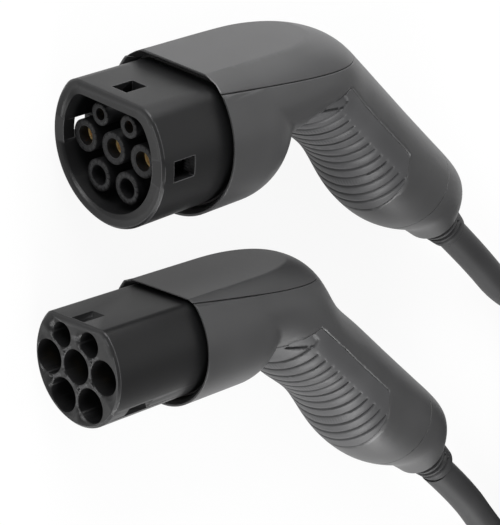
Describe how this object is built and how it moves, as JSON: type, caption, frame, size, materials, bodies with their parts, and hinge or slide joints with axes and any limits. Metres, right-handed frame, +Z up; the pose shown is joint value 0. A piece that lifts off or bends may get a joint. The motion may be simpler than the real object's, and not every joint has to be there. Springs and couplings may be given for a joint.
{
  "type": "ev charging cable",
  "caption": "Detachable EV charging cable: a Type 2 vehicle connector and a station plug with angled grip handles, black, lying on the floor with the spare cable coiled.",
  "frame": {"origin": "middle of the two connectors' footprint, on the floor", "axes": "+Z up; +X from the noses towards the cable ends along the vehicle connector's head; +Y from the plug to the vehicle connector"},
  "size_m": [0.492, 0.3919, 0.08],
  "materials": {
    "housing": "satin",
    "nose": "fine grain",
    "grip": "matte",
    "insert": "matte",
    "contact": "gold plated",
    "sheath": "matte",
    "relief": "matte",
    "clamp": "matte",
    "screw": "zinc plated",
    "seal": "matte",
    "brown": "satin",
    "blue": "satin",
    "green": "satin",
    "white": "satin",
    "resistor": "gloss"
  },
  "bodies": {
    "root": {"vehicle_top_cover": "housing", "vehicle_handle_shell": "housing", "vehicle_grip_inlay": "grip", "vehicle_end_collar": "housing", "vehicle_nose_seal": "seal", "vehicle_strain_relief": "relief", "vehicle_cable_end": "sheath", "vehicle_clamp_saddle": "clamp", "vehicle_clamp_strap": "clamp", "vehicle_clamp_screws": "screw", "vehicle_line_core": "brown", "vehicle_earth_core": "green", "vehicle_neutral_core": "blue", "vehicle_pilot_core": "white", "vehicle_coding_resistor": "resistor", "vehicle_contact_retainer": "clamp", "vehicle_retainer_screws": "screw", "plug_top_cover": "housing", "plug_handle_shell": "housing", "plug_grip_inlay": "grip", "plug_end_collar": "housing", "plug_nose_seal": "seal", "plug_strain_relief": "relief", "plug_cable_end": "sheath", "plug_clamp_saddle": "clamp", "plug_clamp_strap": "clamp", "plug_clamp_screws": "screw", "plug_line_core": "brown", "plug_earth_core": "green", "plug_neutral_core": "blue", "plug_pilot_core": "white", "plug_coding_resistor": "resistor", "plug_contact_retainer": "clamp", "plug_retainer_screws": "screw", "vehicle_nose_shroud": "nose", "vehicle_contact_insert": "insert", "plug_nose_block": "nose", "vehicle_line_contact": "contact", "vehicle_earth_contact": "contact", "vehicle_neutral_contact": "contact", "vehicle_pilot_contact": "contact", "vehicle_proximity_contact": "contact", "plug_line_pin": "contact", "plug_earth_pin": "contact", "plug_neutral_pin": "contact", "plug_pilot_pin": "contact", "plug_proximity_pin": "contact", "cable_coil": "sheath", "vehicle_cable_run": "sheath", "plug_cable_run": "sheath"}
  },
  "joints": []
}
